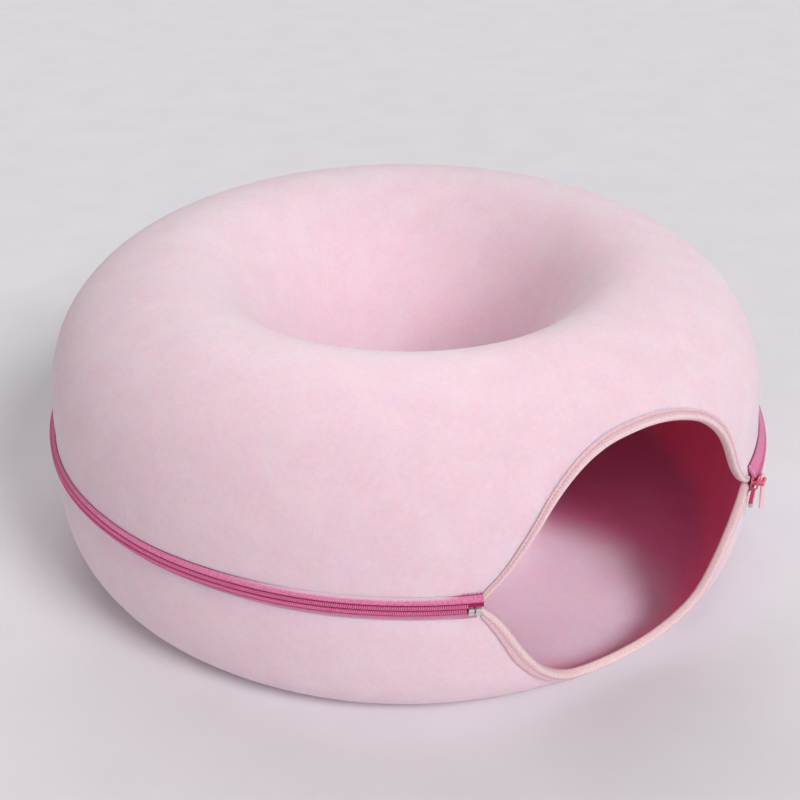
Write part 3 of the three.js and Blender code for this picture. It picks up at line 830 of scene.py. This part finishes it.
def zip_tape(node, weave):
    """One side of the zip's tape, from the right corner of the entrance right round to the left."""
    end = TAPES[node]["end"]
    over, under = [], []
    for share, lift in TAPE_SLOPE:
        across, radius = tape_slope(share)
        over.append((across, radius + lift))
        under.append((across, radius + lift - blend(TAPE_THICKNESS, TAPE_FOOT_THICKNESS, share)))
    outline = list(TAPE_UNDER) + over + under[-2::-2] + [TAPE_BACK]
    girth = measured(outline + outline[:1])
    ridge = girth[len(TAPE_UNDER)]
    girth = [way - ridge for way in girth]
    angles = [blend(TAPE_START, end, step / TAPE_STEPS) for step in range(TAPE_STEPS + 1)]
    length = RING_RADIUS * math.radians(end - TAPE_START)

    def place(slot, step):
        across, radius = outline[slot]
        is_under = slot >= len(TAPE_UNDER) + len(over)
        turned = TAPE_TURNED_UNDER if is_under and step < TAPE_TURNED_STEPS else 0
        return on_tape(node, across, radius - turned, angles[step])

    bm = carry(len(outline), TAPE_STEPS, place, length=length, girth=girth)
    return keep(bm, node.replace("zip_tape", "tape"), [weave], [node], crease=60)


tape_upper = zip_tape("zip_tape_upper", upper_weave)
tape_lower = zip_tape("zip_tape_lower", lower_weave)

TAPE_STITCH_PITCH = 0.0030
TAPE_STITCH = (0.0021, 0.0004, 0.0003)
TAPE_STITCH_SHARE = 0.70


def tape_seam(node):
    """The line of stitches that holds a tape to the felt, as far as no fluff hides it."""
    end = FULL_TURN + FLUFF["starts"]
    across, radius = tape_slope(TAPE_STITCH_SHARE)
    count = int(RING_RADIUS * math.radians(end - TAPE_START) / TAPE_STITCH_PITCH)
    facing_up = TAPES[node]["side"] * (TAPE_RIDGE[1] - TAPE_FOOT[1]) / (TAPE_FOOT[0] - TAPE_RIDGE[0])
    places = []
    for stitch in range(count):
        angle = blend(TAPE_START, end, (stitch + 0.5) / count)
        point = on_tape(node, across, radius, angle)
        places.append((point, along_ring(angle), outward(angle, facing_up)))
    stitched(node.replace("zip_tape", "tape_seam"), places, TAPE_STITCH, pink_thread)


for tape_node in TAPES:
    tape_seam(tape_node)

# At both corners the upper tape is tacked down with zigzag stitches: along its edge at the left
# one, and over its cut end at the right one. Each place is (across, radius, angle).
TACKS = {
    "tape_tack_left": {
        "from": (0.0070, 0.25235, 7.0), "to": (0.0070, 0.25235, 9.8),
        "swings": 10, "swing": (0.0017, -0.0010, 0.0), "thread": pink_thread},
    "tape_tack_right": {
        "from": (0.0036, 0.25425, 62.05), "to": (0.0100, 0.25060, 62.05),
        "swings": 9, "swing": (0.0, 0.0, 0.35), "thread": pale_thread},
}
TACK_STITCH = (0.0022, 0.0005, 0.0004)
TACK_FACES_UP = 0.5


def tack(name):
    """Zigzag stitches: every second place along the line swings out from it."""
    spec = TACKS[name]
    corners = []
    for swing in range(spec["swings"] + 1):
        share = swing / spec["swings"]
        place = [blend(start, end, share) for start, end in zip(spec["from"], spec["to"])]
        if swing % 2:
            place = [value + extra for value, extra in zip(place, spec["swing"])]
        corners.append(on_tape("zip_tape_upper", *place))
    facing = outward(spec["from"][2], TACK_FACES_UP)
    places = []
    for before, after in zip(corners, corners[1:]):
        places.append(((before + after) / 2, after - before, facing))
    stitched(name, places, TACK_STITCH, spec["thread"])


for tack_name in TACKS:
    tack(tack_name)


# The bindings, folded over both cut edges of the entrance

# The gap between the felt and the binding, and how far the binding's two faces stand proud of the
# felt's outside. The stitches pull a groove into both, whose half width is a share of the leg's.
BINDING_EASE = 0.00045
BINDING_FOLD = 0.00145
BINDING_INSIDE = -0.00445
GROOVE_DEPTH = 0.0003
GROOVE_HALF_WIDTH = 0.07
BINDING_STEPS = 220
BINDING_LEG = 0.0055

# The leg's width differs along the edge, and the groove lies at a share of it
UPPER_WIDTHS = ((9.85, 0.0028), (20, 0.0047), (36, 0.0060), (52, 0.0047), (SLANT_END, 0.0026))
LOWER_WIDTHS = ((SLANT_START, 0.0036), (11.8, 0.0064), (20, 0.0056), (36, 0.0048), (SLANT_END, 0.0018))
BINDINGS = {
    "binding_upper": {"edge": upper_edge, "side": 1, "start": 9.85, "groove": 0.58,
                      "width": smooth_edge(UPPER_WIDTHS)},
    "binding_lower": {"edge": lower_edge, "side": -1, "start": SLANT_START, "groove": 0.50,
                      "width": smooth_edge(LOWER_WIDTHS)},
}


def binding_outline(groove):
    """(across, proud): across is a share of the leg's width into the felt, or metres past the cut
    below zero. From the outer leg's end over the fold to the inner leg and back inside."""
    top, inside = BINDING_FOLD, BINDING_INSIDE
    near_side, far_side = groove - GROOVE_HALF_WIDTH, groove + GROOVE_HALF_WIDTH
    outer = [(1.0, BINDING_EASE), (1.0, top * 0.72), (0.98, top * 0.90), (0.92, top * 0.98), (0.75, top)]
    channel = [(far_side, top), (groove, top - GROOVE_DEPTH), (near_side, top)]
    fold = [(0.12, top * 1.02), (-0.0003, top * 0.97), (-0.0009, top * 0.74), (-0.0013, top * 0.25),
            (-0.00145, -0.0006), (-0.00145, -0.0024), (-0.0013, -0.0034), (-0.0009, -0.0040),
            (-0.0003, -0.0044)]
    inner = [(0.12, inside), (near_side, inside), (groove, inside + GROOVE_DEPTH), (far_side, inside),
             (0.9, inside), (1.0, inside * 0.95), (1.0, inside + MM)]
    lining = [(-BINDING_EASE, inside + MM), (-BINDING_EASE, BINDING_EASE)]
    return outer + channel + fold + inner + lining


def on_binding(spec, across, proud, angle):
    """A point on a binding, whose place across is given as in its outline."""
    width = spec["width"](angle) if across > 0 else 1
    reach = spec["edge"](angle) + spec["side"] * across * width * slant(spec["edge"], angle)
    return on_felt(reach, proud, angle)


def binding_angles(spec):
    """Angles along the edge and how far along it each lies, to step along it evenly."""
    fine = [blend(spec["start"], SLANT_END, step / CURVE_STEPS) for step in range(CURVE_STEPS + 1)]
    return fine, measured([on_binding(spec, -MM, 0, angle) for angle in fine])


def binding(node):
    spec = BINDINGS[node]
    outline = binding_outline(spec["groove"])
    fine, lengths = binding_angles(spec)
    angles = []
    for step in range(BINDING_STEPS + 1):
        angles.append(looked_up(lengths[-1] * step / BINDING_STEPS, lengths, fine))
    flat = [(across * BINDING_LEG if across > 0 else across, proud) for across, proud in outline]

    def place(slot, step):
        across, proud = outline[slot]
        return on_binding(spec, across, proud, angles[step])

    bm = carry(len(outline), BINDING_STEPS, place, length=lengths[-1], girth=measured(flat + flat[:1]))
    return keep(bm, node.replace("binding", "bound"), [binding_weave], [node], crease=60)


bound_upper = binding("binding_upper")
bound_lower = binding("binding_lower")

BINDING_STITCH_PITCH = 0.0026
BINDING_STITCH = (0.0016, 0.0004, 0.0003)
BINDING_STITCH_SUNK = 0.8 * GROOVE_DEPTH
LOOK_AHEAD = 0.1


def binding_seam(node):
    """The stitches in the groove of a binding, outside the felt and then inside it."""
    spec = BINDINGS[node]
    fine, lengths = binding_angles(spec)
    count = int(lengths[-1] / BINDING_STITCH_PITCH)
    sides = ((BINDING_FOLD - BINDING_STITCH_SUNK, MM), (BINDING_INSIDE + BINDING_STITCH_SUNK, -MM))
    places = []
    for proud, facing in sides:
        for stitch in range(count):
            angle = looked_up((stitch + 0.5) * BINDING_STITCH_PITCH, lengths, fine)
            point = on_binding(spec, spec["groove"], proud, angle)
            ahead = on_binding(spec, spec["groove"], proud, angle + LOOK_AHEAD)
            above = on_binding(spec, spec["groove"], proud + facing, angle)
            places.append((point, ahead - point, above - point))
    stitched(node.replace("binding", "bound_seam"), places, BINDING_STITCH, peach_thread)


for bound_node in BINDINGS:
    binding_seam(bound_node)


# Hard pieces that stand on the zip: x runs along the coil, y up and z away from the ring

def stand(angle, radius, height):
    """Where a hard piece stands on the zip."""
    along, up, away = along_ring(angle), Vector((0, 0, 1)), outward(angle)
    turn = Matrix((along, up, away)).transposed().to_4x4()
    return Matrix.Translation(on_zip(radius, height, angle)) @ turn


def rounded(corners, steps=4):
    """A closed outline whose corners, each (x, y, radius), are rounded off."""
    points = []
    for index, (x, y, radius) in enumerate(corners):
        corner = Vector((x, y))
        before = Vector(corners[index - 1][:2])
        after = Vector(corners[(index + 1) % len(corners)][:2])
        start = corner + (before - corner).normalized() * radius
        end = corner + (after - corner).normalized() * radius
        for step in range(steps + 1):
            share = step / steps
            points.append(start.lerp(corner, share).lerp(corner.lerp(end, share), share))
    return points


def plate(bm, outline, thickness, lift, holes=()):
    """A flat plate of an outline with holes, standing up from the lift by its thickness."""
    edges = []
    for line in (outline, *holes):
        points = [bm.verts.new((point.x, point.y, lift)) for point in line]
        edges += [bm.edges.new((points[index - 1], points[index])) for index in range(len(points))]
    filled = bmesh.ops.triangle_fill(bm, use_beauty=True, edges=edges)["geom"]
    faces = [element for element in filled if isinstance(element, bmesh.types.BMFace)]
    raised = bmesh.ops.extrude_face_region(bm, geom=faces, use_keep_orig=True)["geom"]
    moved = [element for element in raised if isinstance(element, bmesh.types.BMVert)]
    bmesh.ops.translate(bm, vec=(0, 0, thickness), verts=moved)
    bmesh.ops.recalc_face_normals(bm, faces=bm.faces)


def mirrored(half):
    """An outline of which only the right half, from the bottom up, is given."""
    return list(half) + [(-x, y, radius) for x, y, radius in half[::-1]]


def rounded_box(half, bottom, top, corner):
    return rounded(mirrored([(half, bottom, corner), (half, top, corner)]))


def stood(bm, name, material, replaced, where, crease=35):
    """Keeps a hard piece that was made lying at the origin, where it stands on the zip."""
    bmesh.ops.transform(bm, matrix=where, verts=bm.verts)
    keep(bm, name, [material], replaced, crease)


STOPS = {"zip_stop_inner": {"angle": 8.2, "length": 0.0032},
         "zip_stop_outer": {"angle": 9.12, "length": 0.0034}}
STOP = {"height": 0.0955, "inner_radius": 0.2526, "outer_radius": 0.2557, "width": 0.0044, "corner": 0.0007,
        "waist": 0.86, "waist_corner": 0.0005, "notch": 0.0006, "notch_corner": 0.0004, "bevel": 0.0008}


def crimped_stop(node):
    """A wire staple crimped round the turns: round-cornered, with a pinched middle."""
    half, rise = STOPS[node]["length"] / 2, STOP["width"] / 2
    notch, notch_corner = STOP["notch"], STOP["notch_corner"]
    right_side = [(half, -rise, STOP["corner"]), (half, -notch, notch_corner),
                  (half * STOP["waist"], 0, STOP["waist_corner"]),
                  (half, notch, notch_corner), (half, rise, STOP["corner"])]
    bm = bmesh.new()
    plate(bm, rounded(mirrored(right_side)), STOP["outer_radius"] - STOP["inner_radius"], 0)
    bevelled(bm, STOP["bevel"])
    stood(bm, node.replace("zip_stop", "crimp"), aluminium, [node],
          stand(STOPS[node]["angle"], STOP["inner_radius"], STOP["height"]))


for stop_node in STOPS:
    crimped_stop(stop_node)

SLIDER = {"angle": 62.8, "length": 0.0110, "wide_end": 0.0084, "narrow_end": 0.0068, "corner": 0.0016,
          "plate_radius": 0.2556, "plate_thickness": 0.0010, "inner_radius": 0.2517,
          "inner_thickness": 0.0009, "inner_width": 0.0066, "bevel": 0.00028}
BRIDGE = {"length": 0.0076, "height": 0.0035, "width": 0.0026, "bar": 0.0012, "post": 0.0014,
          "corner": 0.0012, "window_corner": 0.0007, "foot": -0.0004, "foot_corner": 0.0001,
          "bevel": 0.00045}

# Between the slider's plates a wedge parts the two rows; it is sunk a little into both
WEDGE = ((-0.0046, -0.0016, 0.0004), (0, 0, 0.0004), (-0.0046, 0.0016, 0.0004))
WEDGE_SUNK = 0.0001


def slider_outline(near, far):
    half, corner = SLIDER["length"] / 2, SLIDER["corner"]
    return rounded([(-half, -near / 2, corner), (half, -far / 2, corner),
                    (half, far / 2, corner), (-half, near / 2, corner)])


def bridge(lift):
    """The slider's bridge as a mesh of its own: an arch that stands on the outer plate."""
    half, inner = BRIDGE["length"] / 2, BRIDGE["length"] / 2 - BRIDGE["post"]
    top, window = BRIDGE["height"], BRIDGE["height"] - BRIDGE["bar"]
    foot, foot_corner = BRIDGE["foot"], BRIDGE["foot_corner"]
    corners = [(-half, foot, foot_corner), (-inner, foot, foot_corner),
               (-inner, window, BRIDGE["window_corner"]), (inner, window, BRIDGE["window_corner"]),
               (inner, foot, foot_corner), (half, foot, foot_corner),
               (half, top, BRIDGE["corner"]), (-half, top, BRIDGE["corner"])]
    arch = bmesh.new()
    plate(arch, rounded(corners), BRIDGE["width"], -BRIDGE["width"] / 2)
    bevelled(arch, BRIDGE["bevel"])
    stood_up = Matrix.Translation((0, 0, lift)) @ Matrix.Rotation(QUARTER_TURN, 4, "X")
    bmesh.ops.transform(arch, matrix=stood_up, verts=arch.verts)
    mesh = bpy.data.meshes.new("bridge")
    arch.to_mesh(mesh)
    arch.free()
    return mesh


def zip_slider():
    """Two plates with the wedge between them, wider at the end where the rows come in apart."""
    lift = SLIDER["plate_radius"] - SLIDER["inner_radius"]
    inner_width, inner_thickness = SLIDER["inner_width"], SLIDER["inner_thickness"]
    bm = bmesh.new()
    plate(bm, slider_outline(SLIDER["wide_end"], SLIDER["narrow_end"]), SLIDER["plate_thickness"], lift)
    plate(bm, slider_outline(inner_width, inner_width), inner_thickness, 0)
    wedge = rounded(WEDGE, steps=2)
    plate(bm, wedge, lift - inner_thickness + 2 * WEDGE_SUNK, inner_thickness - WEDGE_SUNK)
    bevelled(bm, SLIDER["bevel"])
    arch = bridge(lift + SLIDER["plate_thickness"])
    bm.from_mesh(arch)
    bpy.data.meshes.remove(arch)
    stood(bm, "slider", paint, ["zip_slider"],
          stand(SLIDER["angle"], SLIDER["inner_radius"], ZIP["height"]))


zip_slider()

PULL = {"thickness": 0.0012, "lift": 0.0005, "top": 0.0029, "length": 0.0250, "turned": -14, "leans": -5,
        "head_width": 0.0054, "head_corner": 0.0024, "shoulder": -0.0030, "shoulder_corner": 0.0016,
        "neck_width": 0.0032, "neck": -0.0052, "neck_corner": 0.0020,
        "tip_width": 0.0052, "tip_corner": 0.0022, "bevel": 0.00035}
PULL_HOLE = {"half": 0.0013, "bottom": -0.0018, "top": 0.0016, "corner": 0.0009}


def pull_tab():
    """The pull, hung by its hole from the bridge's far post: a waisted tab."""
    head, neck, tip = (PULL[part] / 2 for part in ("head_width", "neck_width", "tip_width"))
    right_side = [(tip, PULL["top"] - PULL["length"], PULL["tip_corner"]),
                  (neck, PULL["neck"], PULL["neck_corner"]),
                  (head, PULL["shoulder"], PULL["shoulder_corner"]),
                  (head, PULL["top"], PULL["head_corner"])]
    outline = rounded(mirrored(right_side), steps=6)
    bm = bmesh.new()
    plate(bm, outline, PULL["thickness"], PULL["lift"], [rounded_box(**PULL_HOLE)])
    bevelled(bm, PULL["bevel"])
    post = (BRIDGE["length"] - BRIDGE["post"]) / 2
    where = stand(SLIDER["angle"], SLIDER["plate_radius"] + SLIDER["plate_thickness"], ZIP["height"])
    hung = Matrix.Translation((post, 0, 0)) @ Matrix.Rotation(math.radians(PULL["turned"]), 4, "Y")
    hung = hung @ Matrix.Rotation(math.radians(PULL["leans"]), 4, "X")
    stood(bm, "pull_tab", pale_paint, ["zip_pull"], where @ hung)


pull_tab()

# The tail's outer layer is narrower at its end
TAIL = {"angle": 61.6, "inner_radius": 0.2532, "top": 0.0936, "length": 0.0098, "width": 0.0048,
        "thickness": 0.0022, "swung": -18, "layer": 0.46, "narrowed": 0.93,
        "top_corner": 0.0008, "end_corner": 0.0004, "bevel": 0.00022}
TAIL_STOP = {"length": 0.0028, "width": 0.0034, "thickness": 0.0026, "corner": 0.0006, "bevel": 0.0005}


def hung_tail():
    """Where the tail hangs from: below the slider, swung towards the entrance."""
    place = stand(TAIL["angle"], TAIL["inner_radius"], TAIL["top"])
    return place @ Matrix.Rotation(math.radians(TAIL["swung"]), 4, "Z")


def zip_tail():
    """The two tape ends, folded down together below the slider."""
    half = TAIL["width"] / 2
    layer = TAIL["thickness"] * TAIL["layer"]
    bm = bmesh.new()
    for lift, narrowed in ((0, 1), (TAIL["thickness"] - layer, TAIL["narrowed"])):
        right_side = [(half * narrowed, -TAIL["length"], TAIL["end_corner"]), (half, 0, TAIL["top_corner"])]
        plate(bm, rounded(mirrored(right_side)), layer, lift)
    bevelled(bm, TAIL["bevel"], segments=2)
    stood(bm, "tail", tail_weave, ["zip_tail"], hung_tail())


def tail_stop():
    """The small stop crimped to the tail's end."""
    top = -TAIL["length"] - CLEARANCE
    outline = rounded_box(TAIL_STOP["width"] / 2, top - TAIL_STOP["length"], top, TAIL_STOP["corner"])
    bm = bmesh.new()
    plate(bm, outline, TAIL_STOP["thickness"], 0)
    bevelled(bm, TAIL_STOP["bevel"])
    stood(bm, "tail_crimp", aluminium, ["zip_tail_stop"], hung_tail())


zip_tail()
tail_stop()

# Floor, light and camera

FLOOR_SIDE = 40.0
bm = bmesh.new()
bmesh.ops.create_grid(bm, x_segments=1, y_segments=1, size=FLOOR_SIDE / 2)
floor_mesh = bpy.data.meshes.new("floor")
bm.to_mesh(floor_mesh)
bm.free()
floor_mesh.materials.append(floor_board)
floor = put("floor", floor_mesh)

LAMP_DISTANCE = 2

# Far softboxes, as suns: where each stands (degrees round from the front to the right, and up), how
# wide it looks (degrees) and how strong it is
LIGHTS = {
    "key": {"angle": 43, "up": 38, "width": 23, "strength": 1.97, "colour": "#ffffff"},
    "front": {"angle": -20, "up": 44, "width": 60, "strength": 0.50, "colour": "#ffffff"},
    "low_front": {"angle": 0, "up": 25, "width": 50, "strength": 0.34, "colour": "#ffffff"},
    "back": {"angle": 180, "up": 50, "width": 60, "strength": 1.10, "colour": "#ffffff"},
    "left": {"angle": -100, "up": 30, "width": 70, "strength": 0.19, "colour": "#ffe4de"},
}


def lamp(light, place, target):
    """Puts a light in its place, aimed at its target."""
    holder = put(light.name, light)
    holder.location = place
    holder.rotation_euler = (target - place).to_track_quat("-Z", "Y").to_euler()


def softbox(name, angle, up, width, strength, colour):
    light = bpy.data.lights.new(name, "SUN")
    light.angle = math.radians(width)
    light.energy = strength
    light.color = linear(colour)[:3]
    lamp(light, on_ring(1, math.tan(math.radians(up)), angle) * LAMP_DISTANCE, Vector())


for light_name, setting in LIGHTS.items():
    softbox(light_name, **setting)

# Two soft spots: one from above the front into the well, and one through the entrance on the
# tunnel's floor, which the softboxes hardly reach
SPOTS = {
    "well_spot": {"place": (-0.10, -0.60, 1.05), "target": (0.018, 0.024, 0.060), "cone": 15,
                  "radius": 0.10, "power": 17.5},
    "tunnel_spot": {"place": (0.585, -0.635, 0.569), "target": (0.086, -0.125, 0.018), "cone": 9.5,
                    "radius": 0.05, "power": 6.8},
}


def spot(name, place, target, cone, radius, power):
    light = bpy.data.lights.new(name, "SPOT")
    light.spot_size = math.radians(cone)
    light.spot_blend = 1.0
    light.shadow_soft_size = radius
    light.energy = power
    lamp(light, Vector(place), Vector(target))


for spot_name, setting in SPOTS.items():
    spot(spot_name, **setting)

# The room itself gives back very little light
ROOM_COLOUR, ROOM_STRENGTH = "#e6e3e8", 0.05
world = bpy.data.worlds.new("studio")
world.use_nodes = True
background = world.node_tree.nodes["Background"]
background.inputs["Color"].default_value = linear(ROOM_COLOUR)
background.inputs["Strength"].default_value = ROOM_STRENGTH
bpy.context.scene.world = world
bpy.context.scene.view_settings.view_transform = "Standard"

camera_data = bpy.data.cameras.new("camera")
camera_data.sensor_width = SENSOR_WIDTH
camera_data.lens = FOCAL_LENGTH_PIXELS / PICTURE_SIDE * SENSOR_WIDTH
camera = put("camera", camera_data)
camera.location = CAMERA_PLACE
aim = (CAMERA_TARGET - CAMERA_PLACE).to_track_quat("-Z", "Y")
camera.rotation_euler = (aim.to_matrix() @ Matrix.Rotation(CAMERA_ROLL, 3, "Z")).to_euler()
bpy.context.scene.camera = camera
